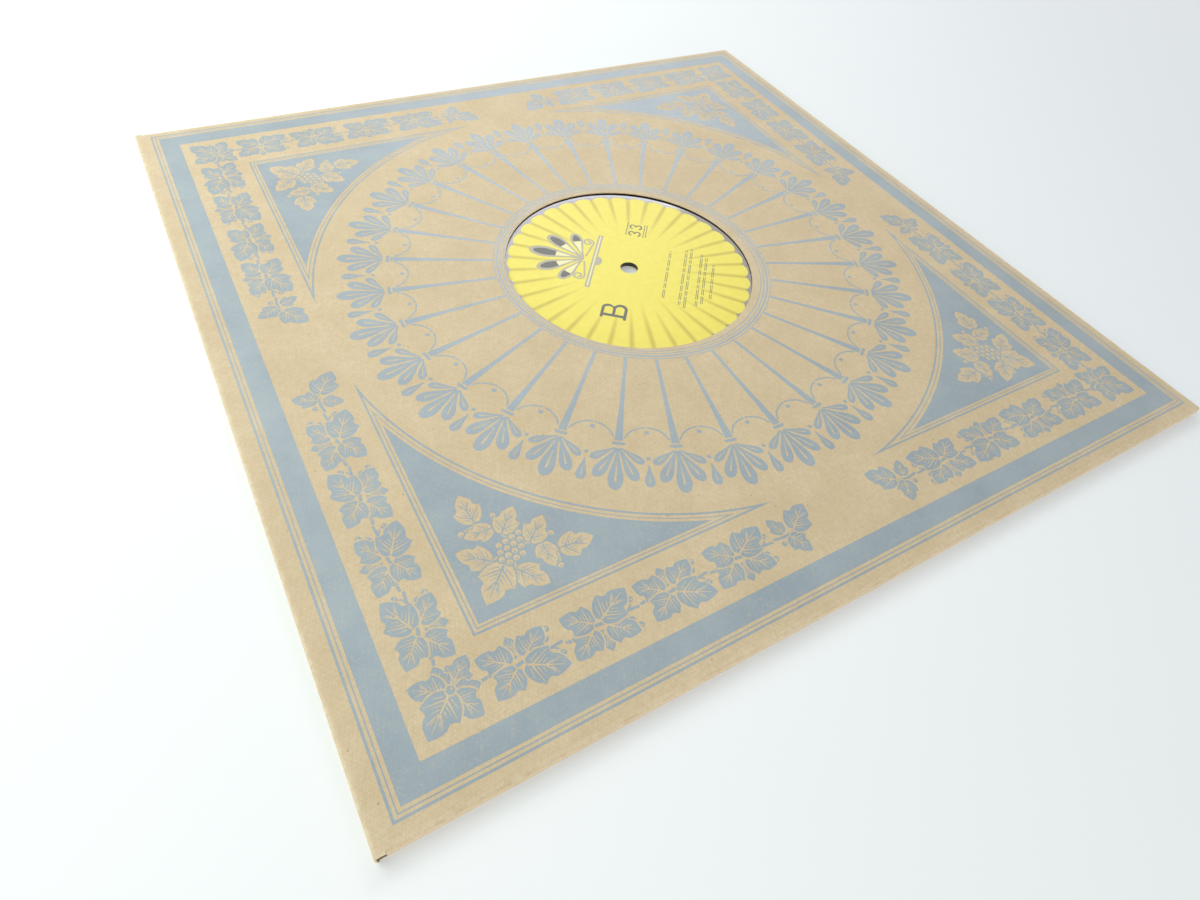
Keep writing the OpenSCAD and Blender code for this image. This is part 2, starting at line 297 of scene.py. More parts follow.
def label_material(name, turned):
    """Label paper: a coated sheet printed in a full colour, baked, then pressed into the disc. It
    has a low even gloss. The print is a scalloped round with a shaded flute in each fold. The
    darker ink in the notches is baked glossy."""
    material, tree = new_material(name)
    place = millimetres(tree, LABEL_PRINT_AT)
    radius = from_axis(tree, LABEL_PRINT_AT)
    axes = add(tree, "ShaderNodeSeparateXYZ", (place,), out=None)
    angle = add(tree, "ShaderNodeMath", (axes.outputs[1], axes.outputs[0]), operation="ARCTAN2")
    turns = add(tree, "ShaderNodeMath", (
        angle, FLUTES / (2 * math.pi), 100 - turned * FLUTES / 360), operation="MULTIPLY_ADD")
    # Across a flute: 0 in a fold and 0.5 on a lobe, and the same in mm from the fold
    across = add(tree, "ShaderNodeMath", (turns, 0.5), operation="PINGPONG")
    width = add(tree, "ShaderNodeMath", (radius, 2 * math.pi / FLUTES), operation="MULTIPLY")
    away = add(tree, "ShaderNodeMath", (across, width), operation="MULTIPLY")
    # Each flute starts 17 to 24 mm from the middle, and grows wider and darker towards the edge
    which = add(tree, "ShaderNodeMath", (turns,), operation="ROUND")
    chance = add(tree, "ShaderNodeTexWhiteNoise", {"W": which}, noise_dimensions="1D")
    begins = add(tree, "ShaderNodeMapRange", (chance, 0.0, 1.0, 17.0, 24.0))
    past = add(tree, "ShaderNodeMath", (radius, begins), operation="SUBTRACT")
    depth = add(tree, "ShaderNodeMapRange", (past, 0.0, 22.0, 0.0, 0.9),
                interpolation_type="SMOOTHSTEP")
    reach = add(tree, "ShaderNodeMath", (depth, 1.1, 0.6), operation="MULTIPLY_ADD")
    fold = add(tree, "ShaderNodeMapRange", (away, 0.0, reach, 1.0, 0.0),
               interpolation_type="SMOOTHSTEP")
    shade = add(tree, "ShaderNodeMath", (fold, depth), operation="MULTIPLY")
    print_noise = add(tree, "ShaderNodeTexNoise", {
        "Vector": place, "Scale": 1 / 3, "Detail": 4.0, "Roughness": 0.6})
    fluted = add(tree, "ShaderNodeMix", {
        0: shade, 6: two_tones(tree, print_noise, *YELLOWS), 7: linear(FLUTE_SHADE)},
        out=2, data_type="RGBA")
    # The scalloped outline, an arch from notch to notch
    doubled = add(tree, "ShaderNodeMath", (across, -2.0, 1.0), operation="MULTIPLY_ADD")
    squared = add(tree, "ShaderNodeMath", (doubled, doubled), operation="MULTIPLY")
    kept = add(tree, "ShaderNodeMath", (1.0, squared), operation="SUBTRACT")
    arch = add(tree, "ShaderNodeMath", (kept, 0.65), operation="POWER")
    outline = add(tree, "ShaderNodeMath", (
        arch, TIP_R - NOTCH_R, NOTCH_R), operation="MULTIPLY_ADD")
    beyond = add(tree, "ShaderNodeMath", (radius, outline), operation="SUBTRACT")
    notch = add(tree, "ShaderNodeMapRange", (beyond, -0.12, 0.12, 0.0, 1.0))
    printed = add(tree, "ShaderNodeMix", {
        0: notch, 6: fluted, 7: linear(NOTCH_INK)}, out=2, data_type="RGBA")
    # A faint pressed ring round the hole, from the stamper's centre
    from_hole = add(tree, "ShaderNodeVectorMath", (millimetres(tree, DISC_AT),),
                    out=1, operation="LENGTH")
    off_ring = add(tree, "ShaderNodeMath", (from_hole, PRESSED_R), operation="SUBTRACT")
    ring = add(tree, "ShaderNodeMath", (off_ring,), operation="ABSOLUTE")
    pressed = add(tree, "ShaderNodeMapRange", (ring, 0.0, 0.6, 0.0, 1.0))
    grain = add(tree, "ShaderNodeMath", (print_noise, 0.12, pressed), operation="MULTIPLY_ADD")
    gloss = add(tree, "ShaderNodeMix", {0: notch, 2: 0.46, 3: 0.16}, data_type="FLOAT")
    close_surface(tree, printed, gloss, 1.5, (grain, 0.06, 0.35))
    return material


def label_ink_material(name, light, dark):
    """Label ink, baked hard. It is a dense film with a low gloss and a faint grain."""
    material, tree = new_material(name)
    place = millimetres(tree)
    grain = add(tree, "ShaderNodeTexNoise", {
        "Vector": place, "Scale": 1 / 0.8, "Detail": 3.0, "Roughness": 0.6})
    tone = add(tree, "ShaderNodeMix", {
        0: grain, 6: linear(dark), 7: linear(light)}, out=2, data_type="RGBA")
    close_surface(tree, tone, 0.45, 1.5, (grain, 0.03, 0.2))
    return material


def seen_directly(tree):
    """1 for what the camera sees, also in a reflection or through glass, and 0 for other light."""
    ray = add(tree, "ShaderNodeLightPath", out=None)
    either = add(tree, "ShaderNodeMath", (
        ray.outputs["Is Camera Ray"], ray.outputs["Is Glossy Ray"]), operation="MAXIMUM")
    return add(tree, "ShaderNodeMath", (
        either, ray.outputs["Is Transmission Ray"]), operation="MAXIMUM")


BACKDROP = "#f7f9f9"
# The table's painted shade, greyer away from the tall window, and its fade into the backdrop
FROM_WINDOW = (0.87, -0.5, 0.0)    # the way into the room, from the tall window's side
PAINTED_SHADE = (-180.0, 330.0)           # mm that way, where the table's shaded tone starts and is full
TABLE_FADE = (480.0, 1400.0)       # mm from the middle, where it starts and is full


def table_material():
    """A white laminate table top, matt, with a faint mottle. It carries painted shade: whitest on
    the tall window's side and greyer away from it. Far from the jacket it fades into the backdrop."""
    material, tree = new_material("white_laminate_table")
    place = millimetres(tree)
    mottle = add(tree, "ShaderNodeTexNoise", {
        "Vector": place, "Scale": 1 / 60, "Detail": 3.0, "Roughness": 0.5})
    # Painted shade: the tone turns greyer away from the tall window, with the real mottle on top
    across = add(tree, "ShaderNodeVectorMath", (place, FROM_WINDOW),
                 out=1, operation="DOT_PRODUCT")
    painted_shade_share = add(tree, "ShaderNodeMapRange", (across, *PAINTED_SHADE, 0.0, 1.0))
    mottle_and_painted_shade = add(tree, "ShaderNodeMath", (mottle, 0.1, painted_shade_share), operation="MULTIPLY_ADD")
    tone = add(tree, "ShaderNodeMix", {
        0: mottle_and_painted_shade, 6: linear("#f6faf8"), 7: linear("#e9eef0")}, out=2, data_type="RGBA")
    distance = add(tree, "ShaderNodeVectorMath", (place,), out=1, operation="LENGTH")
    away = add(tree, "ShaderNodeMapRange", (distance, *TABLE_FADE, 0.0, 1.0),
               interpolation_type="SMOOTHSTEP")
    paler = add(tree, "ShaderNodeMix", {0: away, 6: tone, 7: linear(BACKDROP)},
                out=2, data_type="RGBA")
    lit = add(tree, "ShaderNodeBsdfPrincipled", {
        "Base Color": tone, "Roughness": 0.7, "Specular IOR Level": 0.2})
    pale = add(tree, "ShaderNodeEmission", {"Color": paler, "Strength": 1.0})
    own_light = add(tree, "ShaderNodeMapRange", (away, 0.0, 1.0, 0.4, 1.0))
    share = add(tree, "ShaderNodeMath", (seen_directly(tree), own_light), operation="MULTIPLY")
    close_material(tree, add(tree, "ShaderNodeMixShader", (share, lit, pale)))
    return material


KRAFT = kraft_material()
PRINT_INK = print_ink_material()
SLEEVE_PAPER = sleeve_paper_material()
GLUE = glue_material()
VINYL = vinyl_material()
LABEL_B = label_material("yellow_label_paper_side_b", 0.4)
LABEL_A = label_material("yellow_label_paper_side_a", 4.0)
LABEL_BLACK = label_ink_material("baked_black_label_ink", "#66655a", "#45453c")
LABEL_GREY = label_ink_material("baked_grey_label_ink", "#b5b097", "#9e9982")
LABEL_CREAM = label_ink_material("baked_cream_label_tint", "#ebe5ad", "#e0d99a")


def paint(piece, material):
    """Gives a piece this one material."""
    piece.data.materials.clear()
    piece.data.materials.append(material)


for node, piece in nodes.items():
    if node.startswith("jacket"):
        paint(piece, KRAFT)
    elif node.endswith("glue_line") or node.endswith("paste_line"):
        paint(piece, GLUE)
    elif node.startswith("sleeve"):
        paint(piece, SLEEVE_PAPER)
paint(nodes["label_side_a"], LABEL_A)
paint(nodes["label_side_b"], LABEL_B)


# Outlines, in mm. A drawing is a list of layers, each a closed line of points and whether it is
# inked. A later layer covers the earlier ones, and one that isn't inked leaves the card bare.

def inked(*loops):
    """The loops as inked layers."""
    return [(loop, True) for loop in loops]


def bared(*loops):
    """The loops as layers left bare."""
    return [(loop, False) for loop in loops]


def moved(drawing, at=(0, 0), turn=0.0, scale=1.0):
    """A whole drawing scaled, turned, then moved."""
    return [(placed(loop, at, turn, scale), ink) for loop, ink in drawing]


def placed(points, at=(0, 0), turn=0.0, scale=1.0):
    """The points scaled, turned by so many degrees, then moved."""
    c, s = math.cos(math.radians(turn)) * scale, math.sin(math.radians(turn)) * scale
    return [(at[0] + x * c - y * s, at[1] + x * s + y * c) for x, y in points]


def mirrored(half):
    """A closed outline from its right half, which runs from the foot of the axis to its top."""
    return half + [(-x, y) for x, y in reversed(half) if x > 1e-9]


def arc(radius, start, end, steps, at=(0, 0), upright=None):
    """Points on a round stretch between two directions in degrees. Its upright radius may differ."""
    high = upright or radius
    turns = [math.radians(start + (end - start) * i / steps) for i in range(steps + 1)]
    return [(at[0] + radius * math.cos(a), at[1] + high * math.sin(a)) for a in turns]


def round_loop(radius, at=(0, 0), sides=96):
    """A circle."""
    return arc(radius, 0, 360, sides, at)[:-1]


def oblong(left, low, right, high):
    """A box, from its left, lower, right and upper side."""
    return [(left, low), (right, low), (right, high), (left, high)]


def curved(points, steps=3):
    """A smooth line through the points, each stretch cut into so many steps."""
    line = []
    for i in range(len(points) - 1):
        a, b = points[i], points[i + 1]
        before = points[i - 1] if i else (2 * a[0] - b[0], 2 * a[1] - b[1])
        after = points[i + 2] if i + 2 < len(points) else (2 * b[0] - a[0], 2 * b[1] - a[1])
        for k in range(steps):
            t = k / steps
            line.append(tuple(
                0.5 * (2 * a[n] + (b[n] - before[n]) * t
                       + (2 * before[n] - 5 * a[n] + 4 * b[n] - after[n]) * t ** 2
                       + (3 * a[n] - before[n] - 3 * b[n] + after[n]) * t ** 3) for n in (0, 1)))
    return line + [points[-1]]


def stroke(points, width, end_width=None):
    """A line drawn with a pen: a closed band along the points, which may taper."""
    end_width = width if end_width is None else end_width
    left, right = [], []
    for i, (x, y) in enumerate(points):
        a, b = points[max(i - 1, 0)], points[min(i + 1, len(points) - 1)]
        dx, dy = b[0] - a[0], b[1] - a[1]
        length = math.hypot(dx, dy)
        w = (width + (end_width - width) * i / (len(points) - 1)) / 2 / length
        left.append((x - dy * w, y + dx * w))
        right.append((x + dy * w, y - dx * w))
    return left + right[::-1]


def film_mesh(name, drawing, low, high, material):
    """A closed film between two heights, as a mesh. It covers what the drawing leaves inked."""
    points, outlines = [], []
    for loop, _ in drawing:
        outline = list(range(len(points), len(points) + len(loop)))
        area = sum(x * loop[i - 1][1] - y * loop[i - 1][0] for i, (x, y) in enumerate(loop))
        outlines.append(outline if area < 0 else outline[::-1])    # each runs anticlockwise
        points += [Vector(p) for p in loop]
    flat, _, faces, _, _, layers = delaunay_2d_cdt(points, [], outlines, 1, 1e-4)
    sheet = bmesh.new()
    corners = [sheet.verts.new((p.x * MM, p.y * MM, low * MM)) for p in flat]
    for face, under in zip(faces, layers):
        if under and drawing[max(under)][1]:
            sheet.faces.new([corners[i] for i in face])
    bmesh.ops.delete(sheet, geom=[v for v in sheet.verts if not v.link_faces], context="VERTS")
    bmesh.ops.recalc_face_normals(sheet, faces=sheet.faces)
    raised = bmesh.ops.extrude_face_region(sheet, geom=list(sheet.faces), use_keep_orig=True)
    for v in raised["geom"]:
        if isinstance(v, bmesh.types.BMVert):
            v.co.z = high * MM
    bmesh.ops.recalc_face_normals(sheet, faces=sheet.faces)
    mesh = bpy.data.meshes.new(name)
    sheet.to_mesh(mesh)
    sheet.free()
    mesh.materials.append(material)
    return mesh


def in_scene(name, data):
    """A new object in the scene, for a mesh, a lamp or a camera."""
    thing = bpy.data.objects.new(name, data)
    bpy.context.scene.collection.objects.link(thing)
    return thing


def new_piece(name, mesh, body):
    """Puts a finished mesh in the scene, on its CAD body."""
    piece = in_scene(name, mesh)
    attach(piece, body)
    return piece


# Geometry Nodes: one tree at a time, read back as a plain mesh

def new_tree(name, inputs):
    """A Geometry Nodes tree with named inputs. Gives the tree and its inputs' sockets by name."""
    tree = bpy.data.node_groups.new(name, "GeometryNodeTree")
    tree.interface.new_socket("Geometry", in_out="OUTPUT", socket_type="NodeSocketGeometry")
    for label, kind in inputs:
        tree.interface.new_socket(label, in_out="INPUT", socket_type="NodeSocket" + kind)
    given = add(tree, "NodeGroupInput", out=None)
    return tree, {label: given.outputs[label] for label, _ in inputs}


def close_tree(tree, geometry, material_socket):
    """Ends a tree in Realize Instances and Set Material."""
    whole = add(tree, "GeometryNodeRealizeInstances", (geometry,))
    painted = add(tree, "GeometryNodeSetMaterial", {"Geometry": whole, "Material": material_socket})
    add(tree, "NodeGroupOutput", (painted,), out=None)


def grown(name, tree, values):
    """Runs a tree with its inputs' values on an empty carrier, and gives the result as a mesh."""
    carrier = in_scene(name + "_carrier", bpy.data.meshes.new(name + "_carrier"))
    modifier = carrier.modifiers.new(name, "NODES")
    modifier.node_group = tree
    for item in tree.interface.items_tree:
        if item.in_out == "INPUT":
            modifier[item.identifier] = values[item.name]
    bpy.context.view_layer.update()
    graph = bpy.context.evaluated_depsgraph_get()
    mesh = bpy.data.meshes.new_from_object(carrier.evaluated_get(graph))
    mesh.name = name
    bpy.data.objects.remove(carrier)
    return mesh


# The garland of leaves between the two frames

def stretches(*parts):
    """A line of smooth stretches that meet at sharp points."""
    line = []
    for part in parts:
        line += curved(part, 2)[:-1]
    return line + [parts[-1][-1]]


LEAF_HALF = stretches(   # right half of a broad-shouldered leaf, 1 long, from its stalk to its tip
    [(0.0, 0.07), (0.12, 0.02), (0.27, 0.12), (0.38, 0.30), (0.43, 0.52)],
    [(0.43, 0.52), (0.33, 0.55), (0.25, 0.62)],
    [(0.25, 0.62), (0.26, 0.74), (0.16, 0.90), (0.0, 1.05)])
LEAF_LINES = (   # its midrib, veins and engraved lines, each with its width at start and end
    ([(0.0, 0.08), (0.0, 0.5), (0.0, 0.90)], 0.06, 0.012),
    ([(0.02, 0.19), (0.19, 0.33), (0.37, 0.49)], 0.045, 0.012),
    ([(0.02, 0.50), (0.10, 0.64), (0.17, 0.79)], 0.04, 0.012),
    ([(0.05, 0.31), (0.23, 0.46)], 0.03, 0.01),
    ([(0.05, 0.41), (0.16, 0.52)], 0.03, 0.01),
    ([(0.08, 0.14), (0.29, 0.27)], 0.03, 0.01),
    ([(0.05, 0.62), (0.11, 0.75)], 0.03, 0.01))


def leaf(at, turn, length, wide=1.0, bend=0.0, ink=True):
    """A leaf from its stalk's end, with a bare rim that parts it from what lies under it, and its
    veins and engraved lines left bare. It may bend sideways. Without ink it is bare on ink."""
    outline = mirrored(LEAF_HALF)
    rim = 1 + 1.1 / length
    drawing = [([(x * rim, 0.44 + (y - 0.44) * rim) for x, y in outline], not ink), (outline, ink)]
    for points, width, end_width in LEAF_LINES:
        for side in (1, -1) if points[0][0] else (1,):
            drawing.append((stroke([(x * side, y) for x, y in points], width, end_width), not ink))
    bent = [([(x * wide + bend * y * y, y) for x, y in loop], layer) for loop, layer in drawing]
    return moved(bent, at, turn, length)


def leaves(*rows):
    """Leaves drawn one over another. A row is one's place, turn, length, width and bend."""
    return [layer for row in rows for layer in leaf(*row)]


def berry(at, radius=1.0, ink=True):
    """A berry with a bare rim and a small bare light on it."""
    light = (at[0] - 0.3 * radius, at[1] + 0.3 * radius)
    return [(round_loop(radius + 0.45, at, 10), not ink), (round_loop(radius, at, 10), ink),
            (round_loop(0.34 * radius, light, 6), not ink)]


ROW = 132.6           # from the print's middle to the middle of each row
PITCH = 23.3          # from one cluster to the next
FIRST = 112.0         # place of each half row's first cluster, the one next to the corner
PAIRS = 2             # pairs of clusters in a half row, the second of each turned over
SPRIG = 21.0          # place of the sprig that ends it
TWIST = math.radians(1.3)     # how far a cluster may be turned by chance


def turned_over(drawing):
    """The drawing with its inner side out."""
    return [([(x, -y) for x, y in loop], ink) for loop, ink in drawing]


def vine_cluster():
    """A cluster of the garland, which grows along -X: a stem, berries on their stalks and leaves.
    Its long leaf lies on the outer side, at -Y."""
    drawing = inked(
        stroke(curved([(11.5, 0.3), (7.0, 0.6), (3.0, -0.3), (0.0, 0.0)], 3), 0.9, 1.0),
        stroke(curved([(0.0, 0.0), (-5.0, -0.3), (-11.5, 0.3)], 3), 1.0, 0.8),
        stroke(curved([(-5.2, -0.2), (-7.4, 1.6), (-8.8, 4.6)], 3), 0.5),
        stroke(curved([(-7.6, -0.1), (-9.2, -0.9), (-10.0, -2.2)], 3), 0.5))
    for at in ((-8.9, 5.2), (-7.6, 2.8), (-10.1, -2.7)):
        drawing += berry(at)
    return drawing + leaves(
        ((0.8, 1.4), -6, 6.4, 0.95, 0.0), ((3.0, 0.4), -49, 9.4, 1.1, 0.08),
        ((2.0, -0.7), -130, 9.4, 1.1, -0.08), ((-0.6, 0.8), 49, 9.2, 1.1, -0.06),
        ((0.4, -0.8), 120, 11.8, 1.02, 0.06))


def end_sprig():
    """The garland's last sprig, which points to the middle of its side, along -X."""
    stem = inked(stroke(curved([(9.0, 0.3), (5.0, -0.2), (1.0, 0.4)], 3), 0.9, 0.8))
    return stem + berry((6.6, -2.2), 0.9) + leaves(
        ((4.4, 0.8), -18, 6.4, 1.0, 0.05), ((3.4, -0.3), 153, 7.8, 1.08, -0.05),
        ((1.2, 0.6), 57, 10.6, 1.05, 0.05))


def corner_cluster():
    """The cluster in a corner of the garland, for the corner where +X and -Y meet."""
    return leaves(
        ((-2.2, 2.2), 45, 8.2, 1.05, 0.0), ((-0.2, 2.0), -4, 6.6, 1.0, 0.0),
        ((-2.0, 0.2), 94, 6.6, 1.0, 0.0), ((0.0, 1.0), -53, 9.2, 1.08, 0.06),
        ((-1.0, 0.0), 143, 9.2, 1.08, -0.06), ((-1.2, 1.2), -135, 12.2, 1.02, 0.0),
    ) + berry((-1.4, 1.4), 1.2)


def garland_tree():
    """Half rows of clusters that end in a sprig, towards the middle of each side, and a cluster in
    each corner. Every cluster is turned a degree or so and sized a little by chance. A left half
    row is a right one mirrored, which is each cluster turned over and then turned round."""
    tree, given = new_tree("leaf_garland", [
        ("Cluster", "Object"), ("Cluster Turned Over", "Object"), ("End Sprig", "Object"),
        ("End Sprig Turned Over", "Object"), ("Corner", "Object"), ("Row", "Float"),
        ("First", "Float"), ("Pitch", "Float"), ("Pairs", "Int"), ("Sprig", "Float"),
        ("Middle", "Vector"), ("Seed", "Int"), ("Ink", "Material")])

    def stamped(label, points, rotation=(0.0, 0.0, 0.0), scale=(1.0, 1.0, 1.0)):
        """A stamp on each of the points."""
        return add(tree, "GeometryNodeInstanceOnPoints", {
            "Points": points, "Rotation": rotation, "Scale": scale,
            "Instance": add(tree, "GeometryNodeObjectInfo", {"Object": given[label]}, out=4)})

    down = add(tree, "ShaderNodeMath", (given["Row"], -1.0), operation="MULTIPLY")
    parts = []
    for side, over in ((1, ("", " Turned Over")), (-1, (" Turned Over", ""))):
        facing = 0.0 if side > 0 else math.pi
        step = add(tree, "ShaderNodeMath", (given["Pitch"], -2.0 * side), operation="MULTIPLY")
        for skipped, kind in enumerate(over):
            out = add(tree, "ShaderNodeMath", (given["Pitch"], float(-skipped), given["First"]),
                      operation="MULTIPLY_ADD")
            start = add(tree, "ShaderNodeMath", (out, float(side)), operation="MULTIPLY")
            run = add(tree, "GeometryNodeMeshLine", {
                "Count": given["Pairs"],
                "Start Location": add(tree, "ShaderNodeCombineXYZ", (start, down, 0.0)),
                "Offset": add(tree, "ShaderNodeCombineXYZ", (step, 0.0, 0.0))}, mode="OFFSET")
            number = add(tree, "ShaderNodeMath", (
                add(tree, "GeometryNodeInputIndex"), float(len(parts) * 10)), operation="ADD")
            twist = add(tree, "FunctionNodeRandomValue", {
                "Min": (0.0, 0.0, facing - TWIST), "Max": (0.0, 0.0, facing + TWIST),
                "ID": number, "Seed": given["Seed"]}, data_type="FLOAT_VECTOR")
            size = add(tree, "FunctionNodeRandomValue", {
                2: 0.98, 3: 1.01, "ID": number, "Seed": given["Seed"]}, out=1, data_type="FLOAT")
            parts.append(stamped("Cluster" + kind, run, twist,
                                 add(tree, "ShaderNodeCombineXYZ", (size, size, 1.0))))
        end = add(tree, "ShaderNodeMath", (given["Sprig"], float(side)), operation="MULTIPLY")
        end_point = add(tree, "GeometryNodePoints", {
            "Position": add(tree, "ShaderNodeCombineXYZ", (end, down, 0.0))})
        parts.append(stamped("End Sprig" + over[0], end_point, (0.0, 0.0, facing)))
    corner_point = add(tree, "GeometryNodePoints", {
        "Position": add(tree, "ShaderNodeCombineXYZ", (given["Row"], down, 0.0))})
    parts.append(stamped("Corner", corner_point))
    side_row = add(tree, "GeometryNodeJoinGeometry", out=None)
    for part in parts:
        tree.links.new(part, side_row.inputs[0])
    quarter = add(tree, "ShaderNodeMath", (
        add(tree, "GeometryNodeInputIndex"), math.pi / 2), operation="MULTIPLY")
    whole = add(tree, "GeometryNodeInstanceOnPoints", {
        "Points": add(tree, "GeometryNodePoints", {"Count": 4}),
        "Instance": add(tree, "GeometryNodeGeometryToInstance", (side_row.outputs[0],)),
        "Rotation": add(tree, "ShaderNodeCombineXYZ", (0.0, 0.0, quarter))})
    close_tree(tree, add(tree, "GeometryNodeTransform", {
        "Geometry": whole, "Translation": given["Middle"]}), given["Ink"])
    return tree


def front_film(name, drawing):
    """A drawing as a film of ink, at the height of the jacket's front."""
    return film_mesh(name, drawing, JACKET_TOP - FILM_ROOT, JACKET_TOP + FILM, PRINT_INK)


def print_stamp(name, drawing):
    """A film that a tree repeats. It is kept out of the scene."""
    return bpy.data.objects.new(name, front_film(name, drawing))


print_middle = (PRINT_AT[0] * MM, PRINT_AT[1] * MM, 0.0)
garland = grown("front_leaf_garland_print", garland_tree(), {
    "Cluster": print_stamp("cluster_stamp", vine_cluster()),
    "Cluster Turned Over": print_stamp("turned_cluster_stamp", turned_over(vine_cluster())),
    "End Sprig": print_stamp("end_sprig_stamp", end_sprig()),
    "End Sprig Turned Over": print_stamp("turned_end_sprig_stamp", turned_over(end_sprig())),
    "Corner": print_stamp("corner_stamp", corner_cluster()),
    "Row": ROW * MM, "First": FIRST * MM, "Pitch": PITCH * MM, "Pairs": PAIRS, "Sprig": SPRIG * MM,
    "Middle": print_middle, "Seed": 7, "Ink": PRINT_INK})
new_piece("front_leaf_garland_print", garland, "jacket")


# Frames, spandrels and medallion

def front_print(name, drawing):
    """Prints a drawing on the jacket's front, about the print's own middle."""
    new_piece(name, front_film(name, moved(drawing, PRINT_AT)), "jacket")


# Half the width of two lines and a band, each at its outer and its inner edge
BORDER_EDGES = (153.6, 152.9, 152.1, 151.75, 150.8, 143.7)
border = [(oblong(-h, -h, h, h), i % 2 == 0) for i, h in enumerate(BORDER_EDGES)]
front_print("front_border_print", border)


def spandrel_sprig():
    """The sprig left bare in a spandrel, about its own middle, with the corner towards +Y: a bunch
    of berries with nine leaves round it."""
    drawing = bared(stroke([(0.0, -3.0), (0.0, 6.0)], 0.8))
    for side in (1, -1):
        for points, width, end_width in (
                (((0.6, -2.4), (6.4, -4.4), (13.0, -4.8)), 0.9, 0.6),
                (((2.0, 3.0), (3.4, 5.0), (4.6, 6.0)), 0.6, 0.6),
                (((11.4, -4.9), (13.4, -2.6), (14.6, -0.6)), 0.5, 0.5)):
            line = curved([(x * side, y) for x, y in points], 3)
            drawing += bared(stroke(line, width, end_width))
        drawing += berry((15.0 * side, 0.3), 0.9, False) + berry((9.0 * side, -8.9), 0.9, False)
        for x, y, turn, length in ((12.6, -4.6, 128, 10.6), (7.4, -5.0, 42, 8.4),
                                   (4.2, -3.6, 174, 9.8), (3.4, 5.4, 80, 10.2)):
            drawing += leaf((x * side, y), -turn * side, length, 0.95, 0.06 * side, False)
    drawing += leaf((0.0, 4.6), 0, 13.2, 0.95, 0.0, False)
    for y, row in ((4.1, (-1.2, 1.2)), (2.1, (-2.4, 0.0, 2.4)), (0.1, (-3.6, -1.2, 1.2, 3.6)),
                   (-1.9, (-2.4, 0.0, 2.4)), (-3.9, (-1.2, 1.2)), (-5.9, (0.0,))):
        for x in row:
            drawing += berry((x, y), 0.95, False)
    return drawing


# How far a spandrel's arc and its straight sides are from the print's middle: the outer and inner
# edge of a strong line, the same of a weak line, and the edge of the filled field
SPANDREL_EDGES = (
    (122.6, 120.7), (123.3, 120.05), (124.3, 119.25), (124.6, 118.9), (125.58, 118.13))
SPANDREL_SPRIG_AT = (101.0, -101.0)


def spandrel_loop(round_edge, straight_edge):
    """A field in the corner where +X and -Y meet, between an arc and two straight sides."""
    tip = math.degrees(math.acos(straight_edge / round_edge))
    return arc(round_edge, 270 + tip, 360 - tip, 48)[::-1] + [(straight_edge, -straight_edge)]


spandrels = []
for quarter in range(4):
    field = [(spandrel_loop(*edges), i % 2 == 0) for i, edges in enumerate(SPANDREL_EDGES)]
    sprig = moved(spandrel_sprig(), SPANDREL_SPRIG_AT, -135)
    spandrels += moved(field + sprig, turn=90 * quarter)
front_print("front_spandrels_print", spandrels)

SPOKES = 32    # motifs round the medallion


def petal(at, turn, length, broad=0.15):
    """A long petal with a bare line down its middle."""
    half = curved(
        [(0.02, 0.0), (0.38 * broad, 0.28), (broad, 0.70), (0.7 * broad, 0.93), (0.0, 1.0)], 3)
    slit = stroke([(0.0, 0.34), (0.0, 0.80)], 0.012, 0.05)
    return moved([(mirrored(half), True), (slit, False)], at, turn, length)


def medallion_motif():
    """One thirty-second of the medallion, up along +Y: a stalk with a five-petalled palmette, and
    half a thin swag on either side, with a bead and a drop over it."""
    half_turn = 180 / SPOKES
    drawing = inked(
        [(-0.65, 56.6), (0.65, 56.6), (0.62, 66), (0.85, 82), (1.35, 95.4), (-1.35, 95.4),
         (-0.85, 82), (-0.62, 66)],
        [(-2.4, 96.0), (2.4, 96.0), (1.8, 97.2), (-1.8, 97.2)])
    for turn, length in ((0, 16.6), (27, 13.8), (-27, 13.8), (56, 9.6), (-56, 9.6)):
        a = math.radians(90 + turn)
        drawing += petal((0.9 * math.cos(a), 97.8 + 0.9 * math.sin(a)), turn, length)
    for side in (1, -1):
        swag = [placed([(0.0, radius)], turn=-side * share * half_turn)[0] for radius, share in (
            (94.0, 0.19), (91.2, 0.38), (89.4, 0.68), (88.8, 0.97))]
        drawing += inked(stroke(curved(swag, 4), 0.6))

    def on_line(radius):
        """A place on the line between two stalks."""
        return placed([(0.0, radius)], turn=-half_turn)[0]

    drawing += petal(on_line(104.4), -half_turn, 8.8, 0.19)
    return drawing + inked(round_loop(0.85, on_line(91.0), 10), round_loop(0.75, on_line(101.8), 8))


def wheel_tree():
    """One motif repeated round the print's middle."""
    tree, given = new_tree("medallion_wheel", [
        ("Motif", "Object"), ("Count", "Int"), ("Middle", "Vector"), ("Ink", "Material")])
    points = add(tree, "GeometryNodePoints", {"Count": given["Count"]})
    step = add(tree, "ShaderNodeMath", (2 * math.pi, given["Count"]), operation="DIVIDE")
    spoke = add(tree, "GeometryNodeInputIndex")
    angle = add(tree, "ShaderNodeMath", (spoke, step), operation="MULTIPLY")
    motif = add(tree, "GeometryNodeObjectInfo", {"Object": given["Motif"]}, out=4)
    wheel = add(tree, "GeometryNodeInstanceOnPoints", {
        "Points": points, "Instance": motif,
        "Rotation": add(tree, "ShaderNodeCombineXYZ", (0.0, 0.0, angle))})
    close_tree(tree, add(tree, "GeometryNodeTransform", {
        "Geometry": wheel, "Translation": given["Middle"]}), given["Ink"])
    return tree


wheel = grown("front_medallion_print", wheel_tree(), {
    "Motif": print_stamp("motif_stamp", medallion_motif()), "Count": SPOKES,
    "Middle": print_middle, "Ink": PRINT_INK})
new_piece("front_medallion_print", wheel, "jacket")

# A thin line, a stronger one and two hairlines round the window, each at its outer and inner edge
RING_EDGES = (56.4, 56.0, 55.3, 54.5, 53.8, 53.4, 52.5, 52.05)
rings = [(round_loop(r, sides=240), i % 2 == 0) for i, r in enumerate(RING_EDGES)]
front_print("front_rings_print", rings)

